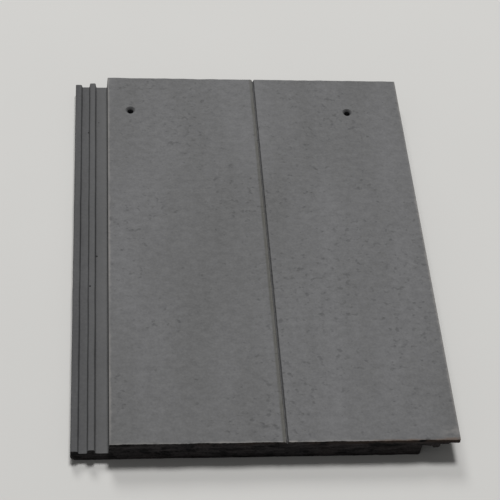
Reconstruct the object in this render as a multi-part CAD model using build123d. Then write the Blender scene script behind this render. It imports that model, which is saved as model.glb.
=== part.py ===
from build123d import *
import os

# Flat interlocking roof tile, moulded in one piece, with a false joint down its middle.
# Lengths are in millimetres. X runs across the roof, from the underlock on the left to the
# overlap lip on the right. Y runs up the slope, from the nose to the head. Z is the tile's
# thickness. The origin is at the middle of the tile, in the plane of the nose's underside.

# Overall size
tile_length = 432.0
cover_width = 300.0             # spacing of the tiles in one course
nose_thickness = 24.0           # top face to the nose's underside
plate_thickness = 13.5          # top face to the hollow underside
joint_gap = 2.4                 # open joint between a lip's tip and the next tile's face

# False joint, a groove that makes one tile look like two
groove_depth = 2.8
groove_floor_width = 0.6
groove_flank_lean = 0.9         # sideways lean of each flank over the groove's depth
groove_shoulder_round = 2.2     # left shoulder, which rolls into the groove
groove_arris_round = 0.3        # right shoulder

# Overlap lip on the right side
lip_root_thickness = 9.8        # over the next tile's outer rib
lip_middle_thickness = 7.6      # over its middle rib
lip_tip_thickness = 5.8         # over its inner channel
lip_clearance = 0.8             # between the lip's underside and the ribs below it
drip_side_clearance = 1.5       # beside the lip's drip rib in its channel
drip_floor_clearance = 1.2      # below the drip rib

# Underlock on the left side: outer rib, outer channel, middle rib, inner channel
outer_rib_width = 6.0
outer_channel_width = 8.5
middle_rib_width = 5.5
inner_channel_width = 12.4      # up to the wall below the face's left edge
channel_depth = 3.4             # below the outer rib's top
channel_floor_thickness = 4.0
underlock_end_gap = 2.0         # between the underlock's edge and the tile before it
underlock_wall = 4.0            # underlock's underside carries on below the face by this much

# Ribs and bars below the plate
side_rib_width = 8.0            # along the root of the lip
centre_rib_width = 22.0         # below the false joint
centre_rib_depth = 3.5
weather_bar_width = 9.0         # across the tile, behind the nose
weather_bar_clearance = 2.0     # above the tile of the course below
weather_bar_spacing = 24.0
first_weather_bar_gap = 19.0    # from the nose's back to the middle of the first bar
weather_bar_count = 2

# Nose
nose_depth = 24.0               # length of the solid nose up the slope

# Nibs that hang the tile on its batten
nib_spacing = 140.0             # between the middles of the two nibs
nib_width = 46.0
nib_depth = 13.0                # along the slope, at the nib's foot
nib_back_slope = 6.0            # extra length at the nib's root
nib_end_slope = 3.0             # extra width at each end of the root
batten_face_setback = 26.0      # from the head to the nibs' flat batten face
batten_width = 50.0
seat_length = 24.0              # bearing seat on the batten, in front of each nib

# Nail holes, above the batten
nail_hole_radius = 3.0
nail_side_distance = 15.0       # from the side rib to the middle of the hole beside it
nail_setback = 20.0             # from the batten face down the slope
nail_mouth_radius = 5.0
nail_mouth_depth = 2.0

# Rounds and draft
arris_round = 0.8               # long edges of the top face
rib_round = 1.2                 # tops of the ribs and the lip's tip
channel_round = 1.0             # floors of the channels
underside_round = 1.8           # edges and corners of the moulded underside
nose_corner_round = 5.0         # outer bottom corner of the nose at the underlock
draft = 0.7                     # sideways lean of each rib's flank
nose_back_draft = 3.0           # lean of the nose's back over its height

# Positions that follow from the sizes above
outer_channel_start = outer_rib_width
middle_rib_start = outer_channel_start + outer_channel_width
inner_channel_start = middle_rib_start + middle_rib_width
underlock_width = inner_channel_start + inner_channel_width
tile_width = cover_width + underlock_width - joint_gap
left = -tile_width / 2
right = tile_width / 2
nose = -tile_length / 2
head = tile_length / 2
top = nose_thickness
plate_underside = top - plate_thickness
face_left = left + underlock_width
next_left = left + cover_width
lip_root = next_left - underlock_end_gap
groove_middle = (face_left + right) / 2
outer_rib_top = top - lip_root_thickness - lip_clearance
middle_rib_top = top - lip_middle_thickness - lip_clearance
channel_floor = outer_rib_top - channel_depth
bearing_height = channel_floor - channel_floor_thickness
batten_face = head - batten_face_setback
nail_line = batten_face - nail_setback
nail_offset = lip_root - side_rib_width - nail_side_distance
overlap = 1.0                   # how far joined forms reach into each other


# Outlines are lists of (x, z, corner radius).

def underlock_top():
    """Top of the underlock, from its outer edge to the left edge of the top face."""
    middle_rib_end = left + inner_channel_start
    return [
        (left, outer_rib_top, rib_round),
        (left + outer_channel_start, outer_rib_top, rib_round),
        (left + outer_channel_start + draft, channel_floor, channel_round),
        (left + middle_rib_start - draft, channel_floor, channel_round),
        (left + middle_rib_start, middle_rib_top, rib_round),
        (middle_rib_end, middle_rib_top, rib_round),
        (middle_rib_end + draft, channel_floor, channel_round),
        (face_left - draft, channel_floor, channel_round),
        (face_left, top, arris_round),
    ]


def false_joint():
    """Groove in the top face, midway between the open joints on either side of the tile."""
    floor_left = groove_middle - groove_floor_width / 2
    floor_right = groove_middle + groove_floor_width / 2
    return [
        (floor_left - groove_flank_lean, top, groove_shoulder_round),
        (floor_left, top - groove_depth, 0),
        (floor_right, top - groove_depth, 0),
        (floor_right + groove_flank_lean, top, groove_arris_round),
    ]


def overlap_lip():
    """Lip from the top face round its tip to its root, shaped to the next tile's underlock."""
    drip_left = next_left + outer_channel_start + drip_side_clearance
    drip_right = next_left + middle_rib_start - drip_side_clearance
    drip_bottom = channel_floor + drip_floor_clearance
    tip_left = next_left + inner_channel_start + drip_side_clearance
    return [
        (right, top, arris_round),
        (right, top - lip_tip_thickness, rib_round),
        (tip_left, top - lip_tip_thickness, rib_round),
        (tip_left - draft, top - lip_middle_thickness, arris_round),
        (drip_right + draft, top - lip_middle_thickness, channel_round),
        (drip_right, drip_bottom, rib_round),
        (drip_left, drip_bottom, rib_round),
        (drip_left - draft, top - lip_root_thickness, channel_round),
        (lip_root, top - lip_root_thickness, channel_round),
    ]


def plate_underside_outline():
    """Underside behind the nose: the side rib, the hollow plate and the underlock's floor."""
    side_rib_left = lip_root - side_rib_width
    underlock_inner = face_left + underlock_wall
    return [
        (lip_root, bearing_height, underside_round),
        (side_rib_left, bearing_height, underside_round),
        (side_rib_left - draft, plate_underside, underside_round),
        (underlock_inner + draft, plate_underside, underside_round),
        (underlock_inner, bearing_height, underside_round),
        (left, bearing_height, underside_round),
    ]


def nose_underside_outline():
    """Underside of the nose, flat from the lip's root to the underlock's rounded corner."""
    return [
        (lip_root, 0, underside_round),
        (left, 0, nose_corner_round),
    ]


def section(underside):
    """Cross-section of the tile, with the given underside."""
    outline = underlock_top() + false_joint() + overlap_lip() + underside
    corners = [(x, z) for x, z, radius in outline]
    radii = [radius for x, z, radius in outline]
    line = FilletPolyline(*corners, radius=radii, close=True)
    return Plane.XZ * make_face(line)


def run(face, start, end):
    """Solid that carries a cross-section up the slope from start to end."""
    return Pos(0, start, 0) * extrude(face, amount=end - start, dir=(0, 1, 0))


def plate():
    """Plate of constant cross-section, from the nose to the head."""
    return run(section(plate_underside_outline()), nose, head)


def nose_block():
    """Full-thickness nose, whose back leans towards the head."""
    depth = nose_depth + nose_back_draft
    block = run(section(nose_underside_outline()), nose, nose + depth)
    lean = Plane(
        origin=(0, nose + nose_depth, 0),
        x_dir=(1, 0, 0),
        z_dir=(0, -plate_underside, nose_back_draft),
    )
    return split(block, bisect_by=lean, keep=Keep.TOP)


def centre_rib():
    """Rib below the false joint, from the nose to just short of the batten."""
    bottom = plate_underside - centre_rib_depth
    half = centre_rib_width / 2
    outline = [
        (groove_middle - half, bottom),
        (groove_middle + half, bottom),
        (groove_middle + half + draft, plate_underside + overlap),
        (groove_middle - half - draft, plate_underside + overlap),
    ]
    face = Plane.XZ * make_face(Polyline(*outline, close=True))
    return run(face, nose + nose_depth, batten_face - batten_width)


def weather_bars():
    """Bars across the underside that stop wind-driven water, within the head lap."""
    bar_left = face_left + underlock_wall - overlap
    bar_right = lip_root - side_rib_width + overlap
    half_foot = weather_bar_width / 2 - draft
    half_root = weather_bar_width / 2 + draft
    outline = [
        (-half_foot, weather_bar_clearance),
        (half_foot, weather_bar_clearance),
        (half_root, plate_underside + overlap),
        (-half_root, plate_underside + overlap),
    ]
    face = Plane.YZ * make_face(Polyline(*outline, close=True))
    bar = Pos(bar_left, 0, 0) * extrude(face, amount=bar_right - bar_left)
    bars = []
    for number in range(weather_bar_count):
        middle = nose + nose_depth + first_weather_bar_gap + number * weather_bar_spacing
        bars.append(Pos(0, middle, 0) * bar)
    return bars


def drafted_block(start, end, foot_height, back_slope):
    """Block below the plate: its lower end stands square to the slope and its other sides lean."""
    root_height = plate_underside + overlap
    half_foot = nib_width / 2
    half_root = half_foot + nib_end_slope
    side_outline = [
        (start, foot_height),
        (end, foot_height),
        (end + back_slope, root_height),
        (start, root_height),
    ]
    end_outline = [
        (-half_foot, foot_height),
        (half_foot, foot_height),
        (half_root, root_height),
        (-half_root, root_height),
    ]
    side_face = Plane.YZ * make_face(Polyline(*side_outline, close=True))
    end_face = Plane.XZ * make_face(Polyline(*end_outline, close=True))
    return extrude(side_face, amount=half_root, both=True) & run(end_face, start, end + back_slope)


def nib():
    """Nib with its seat: a square face down the slope and sloping back and ends."""
    hook = drafted_block(batten_face, batten_face + nib_depth, 0, nib_back_slope)
    foot_edges = hook.edges().group_by(Axis.Z)[0]
    hook = fillet(foot_edges.sort_by(Axis.Y)[1:], underside_round)
    seat = drafted_block(batten_face - seat_length, batten_face + overlap, bearing_height, 0)
    return hook + seat


def nail_hole():
    """Nail hole with a dished mouth in the top face."""
    shaft = Pos(0, 0, top / 2) * Cylinder(nail_hole_radius, top + 2 * overlap)
    mouth = Pos(0, 0, top - nail_mouth_depth / 2) * Cone(
        nail_hole_radius, nail_mouth_radius, nail_mouth_depth
    )
    return shaft + mouth


tile = plate() + nose_block() + centre_rib()
for bar in weather_bars():
    tile += bar
for side in (-1, 1):
    tile += Pos(side * nib_spacing / 2, 0, 0) * nib()
for side in (-1, 1):
    tile -= Pos(side * nail_offset, nail_line, 0) * nail_hole()

os.makedirs("parts", exist_ok=True)
export_step(tile, "parts/roof_tile.step")
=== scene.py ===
import math

import bmesh
import bpy
from mathutils import Matrix, Vector, noise


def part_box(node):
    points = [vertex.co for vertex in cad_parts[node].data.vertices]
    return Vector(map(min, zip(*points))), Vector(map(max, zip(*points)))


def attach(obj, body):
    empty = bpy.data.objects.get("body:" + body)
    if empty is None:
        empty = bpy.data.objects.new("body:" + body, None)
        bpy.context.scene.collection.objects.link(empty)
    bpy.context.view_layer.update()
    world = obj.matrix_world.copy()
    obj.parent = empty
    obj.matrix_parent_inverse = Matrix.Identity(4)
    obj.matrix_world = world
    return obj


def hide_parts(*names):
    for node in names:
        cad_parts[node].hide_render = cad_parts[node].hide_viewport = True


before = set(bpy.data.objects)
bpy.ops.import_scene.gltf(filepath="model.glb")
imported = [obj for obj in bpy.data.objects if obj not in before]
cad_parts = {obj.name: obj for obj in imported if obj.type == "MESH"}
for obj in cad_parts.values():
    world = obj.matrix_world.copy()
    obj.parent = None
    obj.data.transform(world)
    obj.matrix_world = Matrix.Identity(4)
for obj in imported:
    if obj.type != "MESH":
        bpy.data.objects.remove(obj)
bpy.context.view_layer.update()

bl_info = {
    "name": "Clay roof tile",
    "version": (1, 0, 0),
    "blender": (4, 5, 0),
    "location": "View3D > Sidebar > Roof tile",
    "description": "Gives a flat interlocking clay roof tile its rough edges and fired surfaces",
    "category": "Object",
}

MM = 0.001
NODE = "roof_tile"
BARE = "bare_clay"                      # vertex value: share of slip that has chipped off
SLIP, CUT, MOULDED = range(3)           # material slots of the tile's mesh
X, Y, Z = range(3)                      # axes: across the roof, up the slope, out of the roof

# Places on the tile
LOW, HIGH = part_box(NODE)
TOP = HIGH.z
NOSE = LOW.y
HEAD = HIGH.y
UNDERLOCK_WIDTH = 32.4 * MM             # stepped left side that the next tile covers
FACE_LEFT = LOW.x + UNDERLOCK_WIDTH
ARRIS = 0.8 * MM                        # round along the face's long edges
GROOVE_X = (FACE_LEFT + HIGH.x) / 2     # middle of the false joint's floor
GROOVE_LEFT = GROOVE_X - 2.9 * MM       # where its rounded left shoulder starts
GROOVE_RIGHT = GROOVE_X + 1.5 * MM
FACE_FOOT = TOP - 3 * MM                # just below the false joint's floor
BROWN_START = HIGH.x - 80 * MM          # the nose's arris is brown from here to the lip's tip
BROWN_FADE = 14 * MM

# Mesh
MERGE = 0.002 * MM                      # vertices nearer than this are one
SLIVER = 0.01 * MM                      # edges shorter than this are taken out
FLAT_ANGLE = math.radians(0.3)
SHARP_ANGLE = math.radians(38)
END_SLACK = 0.05 * MM                   # what lies this near the nose or the head is in it
SIDE_SLACK = 0.1 * MM                   # what lies this far outside the weather face is on it
END_FACING = 0.9                        # least y, either way, of the normal of a cut face
UP_FACING = 0.3                         # least z of the normal of a face that the slip covers
RIM_ROWS = 5                            # rows of the finest squares, up from the nose
HEAD_COARSER = 3                        # the head's squares, against the nose's

# Relief patterns: the size of their features across, up the slope and in thickness, their seed
# and their octaves. A pattern hardly changes in a direction where its features are 1 m long.
WIDE_HOLLOWS = (95 * MM, 130 * MM, 1), 3, 2
NARROW_HOLLOWS = (24 * MM, 30 * MM, 1), 7, 2
SAG = (24 * MM, 1, 1), 34, 2
TORN_LAYERS = (22 * MM, 1, 3.2 * MM), 11, 3
TORN_CRUMBS = (2.6 * MM, 1, 1.7 * MM), 17, 3
TORN_HEAD = (14 * MM, 1, 4 * MM), 23, 3
GROOVE_WANDER = (1, 7 * MM, 1), 61, 3
RIB_RISE = (9 * MM, 40 * MM, 1), 71, 2
RIB_DRIFT = (1, 35 * MM, 1), 75, 2
CHIP_JITTER = (1.8 * MM, 1.8 * MM, 1)
CHIP_BITES = (10 * MM, 10 * MM, 1)
BITE_LEVEL = 0.66                       # a chip bites deep only where the noise is above this
OCTAVE_FALL = 0.9                       # how much weaker each octave is, as an exponent
OCTAVE_STEP = 2.1                       # how much finer each octave is

# Seeds of the chips along each arris
NOSE_CHIPS = 31
FOOT_CHIPS = 41
LEFT_CHIPS = 51
RIGHT_CHIPS = 57

# Reach of the relief
GROOVE_PLAY = 0.44 * MM                 # full width of the false joint's wander
TEAR_REACH = 4 * MM                     # behind the nose's cut face
SAG_REACH = 12 * MM
NOSE_CHIP_REACH = 2 * MM
SIDE_CHIP_REACH = 2.2 * MM
SIDE_FADE = 1 * MM                      # outside the weather face's left edge
FOOT_FADE = 1.6 * MM                    # below FACE_FOOT
RIB_REACH = 8 * MM                      # from the underlock's wall to its freely wandering ribs
RIB_FOOT = LOW.z + 9.5 * MM             # the ribs wander fully above this
RIB_FADE = 3 * MM                       # and not at all this far below it
BARE_FROM = 0.6 * MM                    # chips deeper than this start to show dark clay
BARE_RANGE = 0.4 * MM                   # and this much further down all of it is bare

# Stage
VIEW_TURN = -9.8                        # degrees, the camera's place as seen from the tile
VIEW_RISE = 50.9
VIEW_DISTANCE = 1.3
VIEW_ANGLE = 20.5                       # degrees across the picture
LIGHT_DISTANCE = 10.0
LIGHTS = (                              # name, azimuth, elevation, watts and width in metres
    ("high_light", 172, 67, 578, 2.4),
    ("low_light", 192, 40, 356, 3.3),
)
SURROUND = 0.13                         # strength of the plain surround
FLOOR_HALF = 15.0
FLOOR_DROP = 0.02 * MM                  # below the tile, so that the two don't share a plane


def linear(hex_colour):
    """Linear RGBA of an sRGB colour written as six hex digits."""
    channels = [int(hex_colour[place:place + 2], 16) / 255 for place in (0, 2, 4)]
    return [
        value / 12.92 if value <= 0.04045 else ((value + 0.055) / 1.055) ** 2.4
        for value in channels
    ] + [1.0]


class RoofTileSizes(bpy.types.PropertyGroup):
    """Sizes of the tile's relief."""

    body_grid: bpy.props.FloatProperty(
        name="Body grid", description="Mesh spacing on the moulded sides and underside",
        default=9.0 * MM, min=3.0 * MM, subtype="DISTANCE", unit="LENGTH",
    )
    face_cuts: bpy.props.IntProperty(
        name="Face cuts", description="Cuts in each square of the body grid on the weather face",
        default=3, min=0, max=4,
    )
    edge_grid: bpy.props.FloatProperty(
        name="Edge grid", description="Mesh spacing on the cut nose and its arrises",
        default=1.0 * MM, min=0.8 * MM, subtype="DISTANCE", unit="LENGTH",
    )
    cut_depth: bpy.props.FloatProperty(
        name="Cut roughness", description="Deepest hollow in the cut face of the nose",
        default=1.3 * MM, min=0.0, subtype="DISTANCE", unit="LENGTH",
    )
    chip_depth: bpy.props.FloatProperty(
        name="Chip depth", description="Most that a chip takes off the nose's upper arris",
        default=1.6 * MM, min=0.0, subtype="DISTANCE", unit="LENGTH",
    )
    edge_sag: bpy.props.FloatProperty(
        name="Edge sag", description="How far the weather face's edge sags at the nose",
        default=0.5 * MM, min=0.0, subtype="DISTANCE", unit="LENGTH",
    )
    face_wave: bpy.props.FloatProperty(
        name="Face waviness", description="Depth of the weather face's slow hollows",
        default=0.45 * MM, min=0.0, subtype="DISTANCE", unit="LENGTH",
    )
    rib_wave: bpy.props.FloatProperty(
        name="Rib waviness", description="How far the underlock's ribs wander",
        default=0.35 * MM, min=0.0, subtype="DISTANCE", unit="LENGTH",
    )


class RoofTileColours(bpy.types.PropertyGroup):
    """Colours of the tile and its floor."""

    face: bpy.props.FloatVectorProperty(
        name="Weather face", description="Matte grey slip of the weather face",
        default=linear("696969"), size=4, min=0.0, max=1.0, subtype="COLOR",
    )
    face_pale: bpy.props.FloatVectorProperty(
        name="Pale bloom", description="Palest patches of the weather face",
        default=linear("6f6f70"), size=4, min=0.0, max=1.0, subtype="COLOR",
    )
    # Painted shade: the dark colour inside the face's pits and on the false joint's floor.
    pit_shade: bpy.props.FloatVectorProperty(
        name="Pits", description="Dark inside of the face's small pits",
        default=linear("464647"), size=4, min=0.0, max=1.0, subtype="COLOR",
    )
    # Rubbed slip and painted highlight: drawn paler than wear alone, for a bright edge.
    worn: bpy.props.FloatVectorProperty(
        name="Worn arris", description="Rubbed slip along the edges of the weather face",
        default=linear("8e8b88"), size=4, min=0.0, max=1.0, subtype="COLOR",
    )
    worn_through: bpy.props.FloatVectorProperty(
        name="Worn-through arris", description="Brown clay where the nose's slip is worn away",
        default=linear("644c38"), size=4, min=0.0, max=1.0, subtype="COLOR",
    )
    # Dust and painted shade: darker than the slip, for the shade of the shoulder's gentle slope.
    dust_and_shading: bpy.props.FloatVectorProperty(
        name="Groove dust", description="Beige dust along the false joint's rounded shoulder",
        default=linear("5a5954"), size=4, min=0.0, max=1.0, subtype="COLOR",
    )
    # Dust and painted light: paler than the slip, against the shade of the shoulder's steep part.
    pale_dust_and_shading: bpy.props.FloatVectorProperty(
        name="Groove dust, pale", description="Thicker dust further down the shoulder",
        default=linear("787670"), size=4, min=0.0, max=1.0, subtype="COLOR",
    )
    # Partly the clay's own dark body, partly painted shade of the cut faces.
    cut: bpy.props.FloatVectorProperty(
        name="Cut clay", description="Dark clay body where the ends were cut",
        default=linear("3b3839"), size=4, min=0.0, max=1.0, subtype="COLOR",
    )
    # Dark layers of the cut clay, and painted shade in its hollows and in the air holes.
    cut_dark_and_shade: bpy.props.FloatVectorProperty(
        name="Cut clay, dark", description="Hollows and dark layers of the cut clay",
        default=linear("151415"), size=4, min=0.0, max=1.0, subtype="COLOR",
    )
    burnt: bpy.props.FloatVectorProperty(
        name="Burnt clay", description="Brown patches of the cut clay below the upper arris",
        default=linear("42362f"), size=4, min=0.0, max=1.0, subtype="COLOR",
    )
    moulded: bpy.props.FloatVectorProperty(
        name="Moulded clay", description="Bare clay of the moulded sides and underside",
        default=linear("505051"), size=4, min=0.0, max=1.0, subtype="COLOR",
    )
    floor: bpy.props.FloatVectorProperty(
        name="Floor", description="Plain pale floor",
        default=linear("d9d8d5"), size=4, min=0.0, max=1.0, subtype="COLOR",
    )


def steps(start, end, spacing):
    """Evenly spaced positions strictly between start and end, about spacing apart."""
    count = max(1, round((end - start) / spacing))
    return [start + (end - start) * number / count for number in range(1, count)]


def slice_faces(work, faces, axis, positions):
    """Cut faces with planes square to an axis, in rising order, and return all their parts."""
    normal = Vector((0, 0, 0))
    normal[axis] = 1
    behind = []
    ahead = list(faces)
    for position in positions:
        touched = set(ahead)
        for face in ahead:
            touched.update(face.edges)
            touched.update(face.verts)
        result = bmesh.ops.bisect_plane(
            work, geom=list(touched), dist=1e-7, plane_co=normal * position, plane_no=normal
        )
        parts = [part for part in result["geom"] if isinstance(part, bmesh.types.BMFace)]
        ahead = []
        for face in parts:
            place = ahead if face.calc_center_median()[axis] > position else behind
            place.append(face)
    return behind + ahead


def faces_where(work, test):
    """Faces whose middle passes a test."""
    return [face for face in work.faces if test(face.calc_center_median())]


def on_weather_face(middle):
    """Whether a face's middle lies on the weather face, its arrises or its false joint."""
    return middle.z > FACE_FOOT and middle.x > FACE_LEFT - SIDE_SLACK


def refine(work, sizes):
    """Divide the tile's surface: finest at the nose, fine on the weather face, coarse below."""
    rim = NOSE + RIM_ROWS * sizes.edge_grid
    slice_faces(work, work.faces, Y, [rim])
    parts = faces_where(work, lambda middle: middle.y < rim)
    parts = slice_faces(work, parts, X, steps(LOW.x, HIGH.x, sizes.edge_grid))
    parts = slice_faces(work, parts, Y, steps(NOSE, rim, sizes.edge_grid))
    slice_faces(work, parts, Z, steps(LOW.z, TOP, sizes.edge_grid))

    head_grid = HEAD_COARSER * sizes.edge_grid
    parts = faces_where(work, lambda middle: middle.y > HEAD - END_SLACK)
    parts = slice_faces(work, parts, X, steps(LOW.x, HIGH.x, head_grid))
    slice_faces(work, parts, Z, steps(LOW.z, TOP, head_grid))

    columns = steps(LOW.x, FACE_LEFT, sizes.body_grid)
    columns += steps(FACE_LEFT + ARRIS, GROOVE_LEFT, sizes.body_grid)
    columns += steps(GROOVE_RIGHT, HIGH.x - ARRIS, sizes.body_grid)
    parts = faces_where(work, lambda middle: rim < middle.y < HEAD - END_SLACK)
    parts = slice_faces(work, parts, X, columns)
    slice_faces(work, parts, Y, steps(rim, HEAD, sizes.body_grid))

    fine = faces_where(work, lambda middle: middle.y > rim and on_weather_face(middle))
    edges = {edge for face in fine for edge in face.edges}
    long_edges = [edge for edge in edges if edge.calc_length() > sizes.body_grid / 3]
    bmesh.ops.subdivide_edges(work, edges=long_edges, cuts=sizes.face_cuts, use_grid_fill=True)


def clamp(value):
    """Value held between 0 and 1."""
    return min(1.0, max(0.0, value))


def relief(point, size, seed, octaves):
    """Smooth noise from 0 to 1 whose features are about size (x, y, z) across."""
    place = Vector((point.x / size[X] + seed, point.y / size[Y] - seed, point.z / size[Z]))
    value = noise.fractal(
        place, OCTAVE_FALL, OCTAVE_STEP, octaves, noise_basis="PERLIN_ORIGINAL"
    )
    return clamp(0.5 + 0.55 * value)


def fade(distance, reach):
    """1 at an edge, falling smoothly to 0 at reach from it."""
    share = clamp(1 - distance / reach)
    return share * share * (3 - 2 * share)


def face_share(point):
    """1 on the weather face and in its false joint, falling to 0 down its side walls."""
    return fade(FACE_LEFT - point.x, SIDE_FADE) * fade(FACE_FOOT - point.z, FOOT_FADE)


def face_hollow(point, sizes):
    """Depth of the weather face's slow hollows at a point."""
    wide = relief(point, *WIDE_HOLLOWS)
    narrow = relief(point, *NARROW_HOLLOWS)
    return sizes.face_wave * (0.7 * wide + 0.3 * narrow)


def nose_tear(point, sizes):
    """Depth of the torn layers and crumbs in the cut face of the nose, less at its foot."""
    layers = relief(point, *TORN_LAYERS)
    crumbs = relief(point, *TORN_CRUMBS)
    keep_foot = 1 - 0.6 * fade(point.z - LOW.z, 1.5 * MM)
    return sizes.cut_depth * keep_foot * (0.65 * layers * layers + 0.35 * crumbs)


def nose_sag(point, sizes):
    """Slow rise and fall of the weather face's edge at the nose."""
    reach = fade(point.y - NOSE, SAG_REACH) * face_share(point)
    return sizes.edge_sag * reach * relief(Vector((point.x, 0, 0)), *SAG)


def chips(along, share, seed, sizes):
    """Depth of an arris's chips, mostly small and seldom deep, at a place along it. The share
    of that depth falls to 0 away from the arris."""
    if share == 0:
        return 0.0
    jitter = relief(along, CHIP_JITTER, seed, 2)
    bites = relief(along, CHIP_BITES, seed + 5, 2)
    bite = max(0.0, bites - BITE_LEVEL) / (1 - BITE_LEVEL)
    return sizes.chip_depth * share * (0.12 * jitter + 0.6 * bite)


def nose_chips(point, sizes):
    """Depth of the chips along the nose's upper arris."""
    share = fade(max(point.y - NOSE, TOP - point.z), NOSE_CHIP_REACH) * face_share(point)
    return chips(Vector((point.x, 0, 0)), share, NOSE_CHIPS, sizes)


def foot_chips(point, sizes):
    """Depth of the chips along the nose's lower arris, half as deep."""
    share = 0.5 * fade(max(point.y - NOSE, point.z - LOW.z), NOSE_CHIP_REACH)
    return chips(Vector((point.x, 0, 0)), share, FOOT_CHIPS, sizes)


def side_chips(point, sizes):
    """Depth of the chips along the weather face's long arrises, half as deep."""
    across = min(abs(point.x - FACE_LEFT), abs(HIGH.x - point.x))
    share = 0.5 * fade(max(across, TOP - point.z), SIDE_CHIP_REACH)
    seed = LEFT_CHIPS if point.x < 0 else RIGHT_CHIPS
    return chips(Vector((0, point.y, 0)), share, seed, sizes)


def rib_play(point, sizes):
    """How far the underlock's ribs may wander at a point: nothing at its wall or its foot."""
    from_wall = clamp((FACE_LEFT - point.x) / RIB_REACH)
    return sizes.rib_wave * from_wall * fade(RIB_FOOT - point.z, RIB_FADE)


def roughened(point, sizes):
    """Place of a surface point once the clay's unevenness is cut into it, and how bare it is."""
    moved = point.copy()
    up_slope = Vector((0, point.y, 0))
    on_face = face_share(point)
    if on_face > 0:
        moved.z -= on_face * face_hollow(point, sizes)
        if GROOVE_LEFT < point.x < GROOVE_RIGHT:
            moved.x += GROOVE_PLAY * (relief(up_slope, *GROOVE_WANDER) - 0.5)
    play = rib_play(point, sizes)
    if play > 0:
        moved.z -= play * relief(point, *RIB_RISE)
        moved.x += play * relief(up_slope, *RIB_DRIFT)
    torn = fade(point.y - NOSE, TEAR_REACH)
    if torn > 0:
        moved.y += torn * nose_tear(point, sizes)
    if point.y > HEAD - END_SLACK:
        moved.y -= 0.6 * sizes.cut_depth * relief(point, *TORN_HEAD)

    upper = nose_chips(point, sizes)
    side = side_chips(point, sizes)
    moved.z -= upper + side + nose_sag(point, sizes)
    moved.y += 0.7 * upper + foot_chips(point, sizes)
    return moved, clamp((upper + side - BARE_FROM) / BARE_RANGE)


def part_of(face):
    """Material slot of a face."""
    middle = face.calc_center_median()
    from_end = min(middle.y - NOSE, HEAD - middle.y)
    if from_end < END_SLACK and abs(face.normal.y) > END_FACING:
        return CUT
    in_groove = GROOVE_LEFT < middle.x < GROOVE_RIGHT and middle.z > FACE_FOOT
    at_top = middle.x > FACE_LEFT - SIDE_SLACK and middle.z > TOP - ARRIS
    if in_groove or (at_top and face.normal.z > UP_FACING):
        return SLIP
    return MOULDED


def tile_mesh(sizes):
    """Mesh of the whole tile, taken from the frame's solid, refined and roughened inward."""
    work = bmesh.new()
    work.from_mesh(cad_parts[NODE].data)
    bmesh.ops.remove_doubles(work, verts=work.verts, dist=MERGE)
    bmesh.ops.dissolve_limit(work, angle_limit=FLAT_ANGLE, verts=work.verts, edges=work.edges)
    refine(work, sizes)
    bmesh.ops.triangulate(work, faces=work.faces)
    bmesh.ops.dissolve_degenerate(work, dist=SLIVER, edges=work.edges)
    work.normal_update()
    for face in work.faces:
        face.material_index = part_of(face)
        face.smooth = True
    for edge in work.edges:
        edge.smooth = edge.calc_face_angle(0) < SHARP_ANGLE
    bare = work.verts.layers.float.new(BARE)
    for vertex in work.verts:
        vertex.co, vertex[bare] = roughened(vertex.co, sizes)
    mesh = bpy.data.meshes.new("fired_tile")
    work.to_mesh(mesh)
    work.free()
    return mesh


def add(material, kind, feeds=None, **settings):
    """Add a node with its settings. Each feed of an input is a value, an output, or a node,
    which gives its first output in use."""
    tree = material.node_tree
    node = tree.nodes.new(kind)
    for name, value in settings.items():
        setattr(node, name, value)
    for name, feed in (feeds or {}).items():
        if isinstance(feed, bpy.types.Node):
            feed = next(output for output in feed.outputs if output.enabled)
        if isinstance(feed, bpy.types.NodeSocket):
            tree.links.new(feed, node.inputs[name])
        else:
            node.inputs[name].default_value = feed
    return node


def new_material(name):
    """Empty node material, and the output that places its patterns on the object."""
    material = bpy.data.materials.new(name)
    material.use_nodes = True
    material.node_tree.nodes.clear()
    return material, add(material, "ShaderNodeTexCoord").outputs["Object"]


def scale_for(*sizes):
    """Scale of a pattern whose features have these sizes in x, y and z, in millimetres."""
    return [1 / (size * MM) for size in sizes]


def fired_surface(material, ground, layers, heights, rough, gloss):
    """Finish a surface of fired clay: layers of colour over its ground, each with the share
    that it covers, patterns that add up to its height, each with how far it rises or sinks,
    and a matte shader."""
    colour = ground
    for share, layer in layers:
        colour = add(material, "ShaderNodeMix", {
            "Factor": share, "A": colour, "B": layer,
        }, data_type="RGBA")
    (pattern, depth), *others = heights
    height = add(material, "ShaderNodeMath", {0: pattern, 1: depth}, operation="MULTIPLY")
    for pattern, depth in others:
        height = add(material, "ShaderNodeMath", {
            0: pattern, 1: depth, 2: height,
        }, operation="MULTIPLY_ADD")
    bump = add(material, "ShaderNodeBump", {"Height": height, "Strength": 1.0, "Distance": 1.0})
    shader = add(material, "ShaderNodeBsdfPrincipled", {
        "Base Color": colour, "Roughness": rough, "Normal": bump,
        "IOR": 1.5, "Specular IOR Level": gloss,
    })
    add(material, "ShaderNodeOutputMaterial", {"Surface": shader})


def face_distances(material, where):
    """Distances on the weather face: right of the middle of the false joint, to either side
    of it, up from the nose, and from the nearest edge."""
    from_groove = add(material, "ShaderNodeMath", {
        0: where.outputs["X"], 1: GROOVE_X,
    }, operation="SUBTRACT")
    beside_groove = add(material, "ShaderNodeMath", {0: from_groove}, operation="ABSOLUTE")
    from_nose = add(material, "ShaderNodeMath", {
        0: where.outputs["Y"], 1: NOSE,
    }, operation="SUBTRACT")
    from_left = add(material, "ShaderNodeMath", {
        0: where.outputs["X"], 1: FACE_LEFT,
    }, operation="SUBTRACT")
    from_right = add(material, "ShaderNodeMath", {
        0: HIGH.x, 1: where.outputs["X"],
    }, operation="SUBTRACT")
    from_side = add(material, "ShaderNodeMath", {0: from_left, 1: from_right}, operation="MINIMUM")
    from_edge = add(material, "ShaderNodeMath", {0: from_side, 1: from_nose}, operation="MINIMUM")
    return from_groove, beside_groove, from_nose, from_edge


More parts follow.
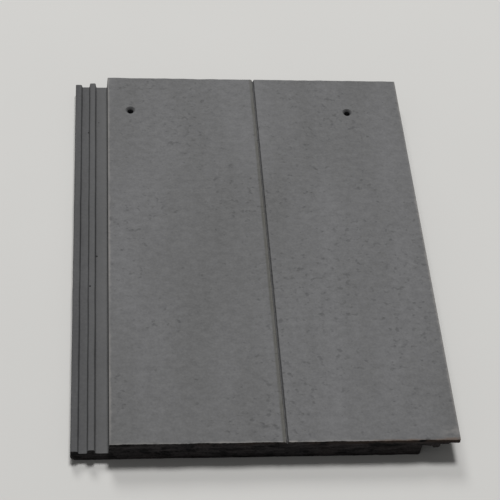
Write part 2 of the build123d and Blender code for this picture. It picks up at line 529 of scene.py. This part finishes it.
def slip_pits(material, place, mottle, crowding):
    """Pits of the slip, where grit was dragged: 1 inside one, 0 outside. The same share
    paints shade inside them.
    """
    # Small pits: about 3 mm across, crowded where the 55 mm patches are strong.
    crowding_share = add(material, "ShaderNodeMapRange", {
        "Value": crowding, "From Min": 0.42, "From Max": 0.62, "To Min": 0.0, "To Max": 0.12,
    })
    speck_place = add(material, "ShaderNodeMapping", {
        "Vector": place, "Scale": scale_for(5.6, 5.8, 5.8),
    })
    specks = add(material, "ShaderNodeTexNoise", {
        "Vector": speck_place, "Scale": 1.0, "Detail": 2.0, "Roughness": 0.5,
    })
    speck_level = add(material, "ShaderNodeMath", {
        0: specks, 1: crowding_share,
    }, operation="ADD")
    small_pits = add(material, "ShaderNodeMapRange", {
        "Value": speck_level, "From Min": 0.66, "From Max": 0.85,
    }, interpolation_type="SMOOTHSTEP")

    # Large pits: 4 mm long, one in some of the cells of 30 by 18 mm, with ragged rims.
    rag = add(material, "ShaderNodeMath", {0: mottle, 1: 0.09}, operation="MULTIPLY")
    pit_place = add(material, "ShaderNodeMapping", {
        "Vector": place, "Scale": scale_for(30, 18, 18),
    })
    ragged_place = add(material, "ShaderNodeVectorMath", {0: pit_place, 1: rag})
    cells = add(material, "ShaderNodeTexVoronoi", {
        "Vector": ragged_place, "Scale": 1.0, "Randomness": 1.0,
    })
    cell_kind = add(material, "ShaderNodeSeparateColor", {0: cells.outputs["Color"]})
    pit_reach = add(material, "ShaderNodeMapRange", {
        "Value": cell_kind.outputs["Red"], "From Min": 0.45, "From Max": 1.0,
        "To Min": 0.0, "To Max": 0.07,
    })
    large_pits = add(material, "ShaderNodeMapRange", {
        "Value": cells.outputs["Distance"], "From Min": pit_reach, "From Max": 0.0,
    }, interpolation_type="SMOOTHSTEP")
    return add(material, "ShaderNodeMath", {0: small_pits, 1: large_pits}, operation="MAXIMUM")


def slip_ground(material, colours, bloom, mottle, grain):
    """Colour of the sound slip: its bloom, marked lighter and darker by mottle and grain."""
    bloom_share = add(material, "ShaderNodeMapRange", {
        "Value": bloom, "From Min": 0.3, "From Max": 0.7,
    })
    slip = add(material, "ShaderNodeMix", {
        "Factor": bloom_share, "A": colours.face, "B": colours.face_pale,
    }, data_type="RGBA")
    marks = add(material, "ShaderNodeMath", {0: mottle, 1: grain}, operation="ADD")
    marks_share = add(material, "ShaderNodeMapRange", {
        "Value": marks, "From Min": 0.7, "From Max": 1.3, "To Min": 0.875, "To Max": 1.125,
    })
    return add(material, "ShaderNodeVectorMath", {
        0: slip, "Scale": marks_share,
    }, operation="SCALE")


def rubbed_and_highlit_arrises(material, mottle, crowding, from_groove, beside_groove, from_edge):
    """Share of rubbed slip and painted highlight: within 2.5 mm of the face's edges, broken up by
    the mottle and stronger in some patches."""
    edge_level = add(material, "ShaderNodeMath", {
        0: mottle, 1: -3.0 * MM, 2: from_edge,
    }, operation="MULTIPLY_ADD")
    rubbed_and_highlit = add(material, "ShaderNodeMapRange", {
        "Value": edge_level, "From Min": -1.2 * MM, "From Max": 1.2 * MM,
        "To Min": 0.6, "To Max": 0.0,
    }, interpolation_type="SMOOTHSTEP")
    patches = add(material, "ShaderNodeMapRange", {
        "Value": crowding, "From Min": 0.4, "From Max": 0.55, "To Min": 0.5, "To Max": 1.1,
    })
    # The nose is paler for 7 mm on the right of the false joint: knocked slip and a painted
    # highlight.
    from_knock = add(material, "ShaderNodeMath", {0: from_groove, 1: 5 * MM}, operation="SUBTRACT")
    knock_reach = add(material, "ShaderNodeMath", {0: from_knock}, operation="ABSOLUTE")
    knock_and_highlight = add(material, "ShaderNodeMapRange", {
        "Value": knock_reach, "From Min": 3.8 * MM, "From Max": 3.0 * MM,
        "To Min": 0.0, "To Max": 0.6,
    }, interpolation_type="SMOOTHSTEP")
    strength = add(material, "ShaderNodeMath", {0: patches, 1: knock_and_highlight}, operation="ADD")
    # Inside the false joint nothing rubs.
    outside_groove = add(material, "ShaderNodeMapRange", {
        "Value": beside_groove, "From Min": 0.5 * MM, "From Max": 1.6 * MM,
    })
    for limit in (strength, outside_groove):
        rubbed_and_highlit = add(material, "ShaderNodeMath", {0: rubbed_and_highlit, 1: limit}, operation="MULTIPLY")
    return rubbed_and_highlit


def scuffed_corner(material, place, mottle):
    """Share of the scuff on the corner at the lip's tip: 15 mm long, in marks of the mottle."""
    from_corner = add(material, "ShaderNodeVectorMath", {
        0: place, 1: (HIGH.x - 3 * MM, NOSE + 3 * MM, TOP),
    }, operation="DISTANCE")
    scuff = add(material, "ShaderNodeMapRange", {
        "Value": from_corner, "From Min": 16 * MM, "From Max": 5 * MM,
        "To Min": 0.0, "To Max": 0.5,
    }, interpolation_type="SMOOTHSTEP")
    marks = add(material, "ShaderNodeMapRange", {
        "Value": mottle, "From Min": 0.4, "From Max": 0.6,
    })
    return add(material, "ShaderNodeMath", {0: scuff, 1: marks}, operation="MULTIPLY")


def worn_and_highlit_colour(material, colours, where, from_nose):
    """Colour of the worn slip and painted highlight: pale, and along the nose's last 80 mm worn
    through to brown.
    """
    brown_end = add(material, "ShaderNodeMapRange", {
        "Value": where.outputs["X"],
        "From Min": BROWN_START, "From Max": BROWN_START + BROWN_FADE,
    }, interpolation_type="SMOOTHSTEP")
    brown_share = add(material, "ShaderNodeMapRange", {
        "Value": from_nose, "From Min": 4 * MM, "From Max": 2 * MM,
        "To Min": 0.0, "To Max": brown_end,
    })
    return add(material, "ShaderNodeMix", {
        "Factor": brown_share, "A": colours.worn, "B": colours.worn_through,
    }, data_type="RGBA")


def groove_dust_and_shading(material, colours, place, from_groove):
    """Share and colour of the dust and painted shading on the false joint's rounded shoulder, in
    patches 20 mm long: a thin film where the shoulder starts, drawn darker than the slip as
    painted shade, and thicker and paler further down, as painted light against the shade of
    the steeper part."""
    shoulder_cover = add(material, "ShaderNodeMapRange", {
        "Value": from_groove, "From Min": -4.7 * MM, "From Max": -3.1 * MM,
        "To Min": 0.0, "To Max": 0.9,
    }, interpolation_type="SMOOTHSTEP")
    shoulder_cover_end = add(material, "ShaderNodeMapRange", {
        "Value": from_groove, "From Min": -0.6 * MM, "From Max": 0.1 * MM,
        "To Min": 1.0, "To Max": 0.0,
    }, interpolation_type="SMOOTHSTEP")
    patches = add(material, "ShaderNodeTexNoise", {
        "Vector": place, "Scale": 1 / (20 * MM), "Detail": 2.0,
    })
    patch_level = add(material, "ShaderNodeMapRange", {
        "Value": patches, "From Min": 0.35, "From Max": 0.6, "To Min": 0.6, "To Max": 1.0,
    })
    share = shoulder_cover
    for limit in (shoulder_cover_end, patch_level):
        share = add(material, "ShaderNodeMath", {0: share, 1: limit}, operation="MULTIPLY")
    pale_shoulder = add(material, "ShaderNodeMapRange", {
        "Value": from_groove, "From Min": -2.4 * MM, "From Max": -1.2 * MM,
    }, interpolation_type="SMOOTHSTEP")
    dust_and_shading = add(material, "ShaderNodeMix", {
        "Factor": pale_shoulder, "A": colours.dust_and_shading, "B": colours.pale_dust_and_shading,
    }, data_type="RGBA")
    return share, dust_and_shading


def bare_clay(material, beside_groove, from_nose):
    """Share of dark clay that shows below the slip: in chips, and where the false joint ends
    at the nose."""
    chipped = add(material, "ShaderNodeAttribute", attribute_name=BARE)
    in_groove = add(material, "ShaderNodeMapRange", {
        "Value": beside_groove, "From Min": 1.5 * MM, "From Max": 0.7 * MM,
    })
    groove_end = add(material, "ShaderNodeMapRange", {
        "Value": from_nose, "From Min": 4 * MM, "From Max": 1 * MM,
        "To Min": 0.0, "To Max": in_groove,
    })
    return add(material, "ShaderNodeMath", {
        0: chipped.outputs["Fac"], 1: groove_end,
    }, operation="MAXIMUM")


def slip_coated_face(colours):
    """Matte mineral slip on the pressed clay, fired: an even neutral grey without gloss. Grit
    dragged under the finishing roller leaves short pits, lying across the tile and crowded in
    some patches, painted dark inside as shade. The arrises are rubbed a little paler and drawn
    paler still as a painted highlight. The false joint's shoulder carries dust and painted
    shading, and its floor painted shade."""
    material, place = new_material("matte_slip_on_fired_clay")
    where = add(material, "ShaderNodeSeparateXYZ", {0: place})
    from_groove, beside_groove, from_nose, from_edge = face_distances(material, where)

    # Bloom: soft bands 45 mm wide and 170 mm long, up the slope.
    bloom_place = add(material, "ShaderNodeMapping", {
        "Vector": place, "Scale": scale_for(45, 170, 60),
    })
    bloom = add(material, "ShaderNodeTexNoise", {
        "Vector": bloom_place, "Scale": 1.0, "Detail": 3.0, "Roughness": 0.5,
    })
    # Mottle: marks 8.5 mm long across the tile and 6 mm wide.
    mottle_place = add(material, "ShaderNodeMapping", {
        "Vector": place, "Scale": scale_for(8.5, 6, 6),
    })
    mottle = add(material, "ShaderNodeTexNoise", {
        "Vector": mottle_place, "Scale": 1.0, "Detail": 3.0, "Roughness": 0.5,
    })
    # Grain of the slip: real grit is 0.3 mm, drawn at 2.1 mm so that it shows.
    grain = add(material, "ShaderNodeTexNoise", {
        "Vector": place, "Scale": 1 / (2.1 * MM), "Detail": 2.0, "Roughness": 0.6,
    })
    # Patches of 55 mm in which pits crowd and arrises are rubbed more.
    crowding = add(material, "ShaderNodeTexNoise", {
        "Vector": place, "Scale": 1 / (55 * MM), "Detail": 2.0,
    })

    pits = slip_pits(material, place, mottle, crowding)
    # Painted shade inside the pits.
    pit_shade_share = add(material, "ShaderNodeMath", {0: pits, 1: 0.42}, operation="MULTIPLY")
    rubbed_and_highlit = rubbed_and_highlit_arrises(material, mottle, crowding, from_groove, beside_groove, from_edge)
    scuff = scuffed_corner(material, place, mottle)
    worn_and_highlit_share = add(material, "ShaderNodeMath", {0: rubbed_and_highlit, 1: scuff}, operation="MAXIMUM")
    dust_and_shading_share, dust_and_shading = groove_dust_and_shading(material, colours, place, from_groove)
    # Painted shade on the false joint's floor, in the pits' dark colour.
    groove_floor_shade = add(material, "ShaderNodeMapRange", {
        "Value": beside_groove, "From Min": 1.3 * MM, "From Max": 0.4 * MM,
        "To Min": 0.0, "To Max": 0.55,
    })
    rough = add(material, "ShaderNodeMapRange", {
        "Value": bloom, "From Min": 0.3, "From Max": 0.7, "To Min": 0.93, "To Max": 0.8,
    })
    fired_surface(
        material,
        ground=slip_ground(material, colours, bloom, mottle, grain),
        layers=(
            (pit_shade_share, colours.pit_shade),
            (worn_and_highlit_share, worn_and_highlit_colour(material, colours, where, from_nose)),
            (dust_and_shading_share, dust_and_shading),
            (groove_floor_shade, colours.pit_shade),
            (bare_clay(material, beside_groove, from_nose), colours.cut),
        ),
        heights=((mottle, 0.32 * MM), (grain, 0.08 * MM), (pits, -0.24 * MM)),
        rough=rough,
        gloss=0.35,
    )
    return material


def burnt_share(material, place, where):
    """Share of brown, strongest in the 5 mm below the upper arris: in patches 45 mm long, and
    along the arris's worn end."""
    burn = add(material, "ShaderNodeTexNoise", {
        "Vector": place, "Scale": 1 / (45 * MM), "Detail": 2.0,
    })
    patches = add(material, "ShaderNodeMapRange", {
        "Value": burn, "From Min": 0.45, "From Max": 0.6,
    })
    brown_end = add(material, "ShaderNodeMapRange", {
        "Value": where.outputs["X"],
        "From Min": BROWN_START, "From Max": BROWN_START + BROWN_FADE,
    })
    along_arris = add(material, "ShaderNodeMath", {
        0: patches, 1: brown_end,
    }, operation="MAXIMUM")
    near_top = add(material, "ShaderNodeMapRange", {
        "Value": where.outputs["Z"], "From Min": TOP - 6 * MM, "From Max": TOP - 2 * MM,
        "To Min": 0.1, "To Max": 0.8,
    })
    return add(material, "ShaderNodeMath", {0: along_arris, 1: near_top}, operation="MULTIPLY")


def cut_clay(colours):
    """Fired clay body, cut through while wet: near black, partly from the dark clay itself and
    partly as painted shade of the cut face, which looks away from the lamps. It has no slip,
    is torn by the blade into flat layers with hollows between them, painted darker as shade,
    and is burnt brown in places below the arris."""
    material, place = new_material("cut_fired_clay")
    where = add(material, "ShaderNodeSeparateXYZ", {0: place})

    # Layers dragged by the cut: 4 mm high and about 20 mm long.
    layer_place = add(material, "ShaderNodeMapping", {
        "Vector": place, "Scale": scale_for(20, 6, 4),
    })
    layers = add(material, "ShaderNodeTexNoise", {
        "Vector": layer_place, "Scale": 1.0, "Detail": 4.0, "Roughness": 0.6,
    })
    # Crumbs of the torn body, 2 mm.
    crumbs = add(material, "ShaderNodeTexNoise", {
        "Vector": place, "Scale": 1 / (2 * MM), "Detail": 3.0, "Roughness": 0.65,
    })
    # Hollows where lumps were pulled out: 14 mm long, 7 mm high, painted darker as shade.
    hollow_place = add(material, "ShaderNodeMapping", {
        "Vector": place, "Scale": scale_for(14, 8, 7),
    })
    hollows = add(material, "ShaderNodeTexNoise", {
        "Vector": hollow_place, "Scale": 1.0, "Detail": 2.0,
    })
    hollow_share = add(material, "ShaderNodeMapRange", {
        "Value": hollows, "From Min": 0.55, "From Max": 0.66,
    }, interpolation_type="SMOOTHSTEP")

    tone = add(material, "ShaderNodeMath", {
        0: crumbs, 1: 0.5, 2: layers,
    }, operation="MULTIPLY_ADD")
    tone_share = add(material, "ShaderNodeMapRange", {
        "Value": tone, "From Min": 0.6, "From Max": 0.9,
    })
    body = add(material, "ShaderNodeMix", {
        "Factor": tone_share, "A": colours.cut_dark_and_shade, "B": colours.cut,
    }, data_type="RGBA")
    rough = add(material, "ShaderNodeMapRange", {
        "Value": crumbs, "From Min": 0.3, "From Max": 0.7, "To Min": 0.98, "To Max": 0.86,
    })
    fired_surface(
        material,
        ground=body,
        layers=(
            (burnt_share(material, place, where), colours.burnt),
            (hollow_share, colours.cut_dark_and_shade),
        ),
        heights=((layers, 0.5 * MM), (crumbs, 0.3 * MM), (hollow_share, -0.6 * MM)),
        rough=rough,
        gloss=0.2,
    )
    return material


def drifted_slip(material, where, stains):
    """Share of slip that has drifted over the underlock, from the weather face's wall to
    24 mm outside it."""
    drift = add(material, "ShaderNodeMapRange", {
        "Value": where.outputs["X"],
        "From Min": FACE_LEFT - 26 * MM, "From Max": FACE_LEFT - 2 * MM,
        "To Min": 0.0, "To Max": 1.1,
    })
    beyond_wall = add(material, "ShaderNodeMapRange", {
        "Value": where.outputs["X"],
        "From Min": FACE_LEFT + 0.2 * MM, "From Max": FACE_LEFT + 0.6 * MM,
        "To Min": 1.0, "To Max": 0.0,
    })
    above = add(material, "ShaderNodeMapRange", {
        "Value": where.outputs["Z"], "From Min": LOW.z + 7 * MM, "From Max": LOW.z + 9 * MM,
    })
    share = stains
    for limit in (drift, beyond_wall, above):
        share = add(material, "ShaderNodeMath", {0: share, 1: limit}, operation="MULTIPLY")
    return share


def moulded_clay(colours):
    """Bare fired clay pressed in an oiled mould: darker than the slip and smoother, with drag
    marks, blotches of oil and small air holes, painted dark inside as shade. Slip sprayed on
    the weather face has drifted over the inner part of the underlock."""
    material, place = new_material("mould_pressed_fired_clay")
    where = add(material, "ShaderNodeSeparateXYZ", {0: place})

    # Drag marks: 4 mm apart and 60 mm long.
    marks_place = add(material, "ShaderNodeMapping", {
        "Vector": place, "Scale": scale_for(4, 60, 4),
    })
    marks = add(material, "ShaderNodeTexNoise", {
        "Vector": marks_place, "Scale": 1.0, "Detail": 3.0,
    })
    # Oil blotches, 35 mm.
    stains = add(material, "ShaderNodeTexNoise", {
        "Vector": place, "Scale": 1 / (35 * MM), "Detail": 5.0, "Roughness": 0.65,
    })
    # Grain: real grit is 0.3 mm, drawn at 2.2 mm so that it shows.
    grain = add(material, "ShaderNodeTexNoise", {
        "Vector": place, "Scale": 1 / (2.2 * MM), "Detail": 3.0, "Roughness": 0.6,
    })
    # Air holes, 1 to 2 mm across and about 16 mm apart, painted dark inside as shade.
    holes = add(material, "ShaderNodeTexVoronoi", {
        "Vector": place, "Scale": 1 / (16 * MM), "Randomness": 1.0,
    })
    hole_share = add(material, "ShaderNodeMapRange", {
        "Value": holes.outputs["Distance"], "From Min": 0.07, "From Max": 0.03,
    }, interpolation_type="SMOOTHSTEP")

    tone = add(material, "ShaderNodeMath", {
        0: marks, 1: 0.3, 2: stains,
    }, operation="MULTIPLY_ADD")
    tone_share = add(material, "ShaderNodeMapRange", {
        "Value": tone, "From Min": 0.45, "From Max": 0.85, "To Min": 0.78, "To Max": 1.2,
    })
    grain_share = add(material, "ShaderNodeMapRange", {
        "Value": grain, "From Min": 0.3, "From Max": 0.7, "To Min": 0.88, "To Max": 1.12,
    })
    shade = add(material, "ShaderNodeMath", {
        0: tone_share, 1: grain_share,
    }, operation="MULTIPLY")
    body = add(material, "ShaderNodeVectorMath", {
        0: colours.moulded[:3], "Scale": shade,
    }, operation="SCALE")
    rough = add(material, "ShaderNodeMapRange", {
        "Value": stains, "From Min": 0.3, "From Max": 0.7, "To Min": 0.68, "To Max": 0.9,
    })
    fired_surface(
        material,
        ground=body,
        layers=(
            (drifted_slip(material, where, stains), colours.face),
            (hole_share, colours.cut_dark_and_shade),
        ),
        heights=((marks, 0.15 * MM), (grain, 0.15 * MM), (hole_share, -0.5 * MM)),
        rough=rough,
        gloss=0.35,
    )
    return material


class ROOFTILE_OT_tile(bpy.types.Operator):
    """Build the fired tile over the frame's solid"""

    bl_idname = "rooftile.tile"
    bl_label = "Tile"

    def execute(self, context):
        sizes = context.scene.roof_tile_sizes
        colours = context.scene.roof_tile_colours
        tile = bpy.data.objects.new("fired_roof_tile", tile_mesh(sizes))
        context.scene.collection.objects.link(tile)
        for material in (slip_coated_face(colours), cut_clay(colours), moulded_clay(colours)):
            tile.data.materials.append(material)
        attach(tile, "root")
        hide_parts(NODE)
        return {"FINISHED"}


def matte_floor(colours):
    """Matte paint on a smooth floor: one pale tone, a little cloudy in patches of 170 mm."""
    material, place = new_material("matte_painted_floor")
    clouds = add(material, "ShaderNodeTexNoise", {"Vector": place, "Scale": 6.0, "Detail": 3.0})
    share = add(material, "ShaderNodeMapRange", {
        "Value": clouds, "To Min": 0.985, "To Max": 1.015,
    })
    tint = add(material, "ShaderNodeVectorMath", {
        0: colours.floor[:3], "Scale": share,
    }, operation="SCALE")
    shader = add(material, "ShaderNodeBsdfPrincipled", {
        "Base Color": tint, "Roughness": 0.9, "Specular IOR Level": 0.2,
    })
    add(material, "ShaderNodeOutputMaterial", {"Surface": shader})
    return material


def stage_floor(colours):
    """Wide matte floor under the tile."""
    far = FLOOR_HALF
    level = LOW.z - FLOOR_DROP
    corners = [(-far, -far, level), (far, -far, level), (far, far, level), (-far, far, level)]
    mesh = bpy.data.meshes.new("floor")
    mesh.from_pydata(corners, [], [(0, 1, 2, 3)])
    mesh.materials.append(matte_floor(colours))
    floor = bpy.data.objects.new("stage_floor", mesh)
    bpy.context.scene.collection.objects.link(floor)


def aim(holder, target):
    """Turn a camera or light from its place to a target, level across the roof."""
    across = Vector((1, 0, 0))
    forward = (target - holder.location).normalized()
    right = (across - across.dot(forward) * forward).normalized()
    up = right.cross(forward)
    holder.rotation_mode = "QUATERNION"
    holder.rotation_quaternion = Matrix((right, up, -forward)).transposed().to_quaternion()


def on_dome(azimuth, elevation, distance, centre):
    """Point at a distance from centre; azimuth 0 is down the slope, elevation above level."""
    turn, rise = math.radians(azimuth), math.radians(elevation)
    return centre + distance * Vector((
        math.sin(turn) * math.cos(rise), -math.cos(turn) * math.cos(rise), math.sin(rise)
    ))


def soft_light(name, azimuth, elevation, power, width):
    """Large soft lamp aimed at the tile."""
    lamp = bpy.data.lights.new(name, "AREA")
    lamp.shape = "DISK"
    lamp.size = width
    lamp.energy = power
    holder = bpy.data.objects.new(name, lamp)
    origin = Vector((0, 0, 0))
    holder.location = on_dome(azimuth, elevation, LIGHT_DISTANCE, origin)
    aim(holder, origin)
    bpy.context.scene.collection.objects.link(holder)


class ROOFTILE_OT_stage(bpy.types.Operator):
    """Set out the floor, the lights and the camera"""

    bl_idname = "rooftile.stage"
    bl_label = "Stage"

    def execute(self, context):
        scene = context.scene
        stage_floor(scene.roof_tile_colours)

        world = bpy.data.worlds.new("pale_surround")
        world.use_nodes = True
        background = world.node_tree.nodes["Background"]
        background.inputs["Color"].default_value = (1, 1, 1, 1)
        background.inputs["Strength"].default_value = SURROUND
        scene.world = world
        for light in LIGHTS:
            soft_light(*light)

        camera = bpy.data.cameras.new("camera")
        camera.angle = math.radians(VIEW_ANGLE)
        camera.clip_start = 0.05
        holder = bpy.data.objects.new("camera", camera)
        centre = Vector((0, 0, TOP / 2))
        holder.location = on_dome(VIEW_TURN, VIEW_RISE, VIEW_DISTANCE, centre)
        aim(holder, centre)
        scene.collection.objects.link(holder)
        scene.camera = holder
        scene.view_settings.view_transform = "Standard"
        return {"FINISHED"}


class ROOFTILE_PT_panel(bpy.types.Panel):
    """Sidebar panel that lists the tile's operators and settings"""

    bl_label = "Roof tile"
    bl_idname = "ROOFTILE_PT_panel"
    bl_space_type = "VIEW_3D"
    bl_region_type = "UI"
    bl_category = "Roof tile"

    def draw(self, context):
        layout = self.layout
        for group in (context.scene.roof_tile_sizes, context.scene.roof_tile_colours):
            for name in group.__annotations__:
                layout.prop(group, name)
        layout.operator(ROOFTILE_OT_tile.bl_idname)
        layout.operator(ROOFTILE_OT_stage.bl_idname)


CLASSES = (
    RoofTileSizes,
    RoofTileColours,
    ROOFTILE_OT_tile,
    ROOFTILE_OT_stage,
    ROOFTILE_PT_panel,
)


def register():
    for item in CLASSES:
        bpy.utils.register_class(item)
    bpy.types.Scene.roof_tile_sizes = bpy.props.PointerProperty(type=RoofTileSizes)
    bpy.types.Scene.roof_tile_colours = bpy.props.PointerProperty(type=RoofTileColours)


def unregister():
    del bpy.types.Scene.roof_tile_colours
    del bpy.types.Scene.roof_tile_sizes
    for item in reversed(CLASSES):
        bpy.utils.unregister_class(item)


def main():
    register()
    bpy.ops.rooftile.tile()
    bpy.ops.rooftile.stage()


if __name__ == "__main__":
    main()
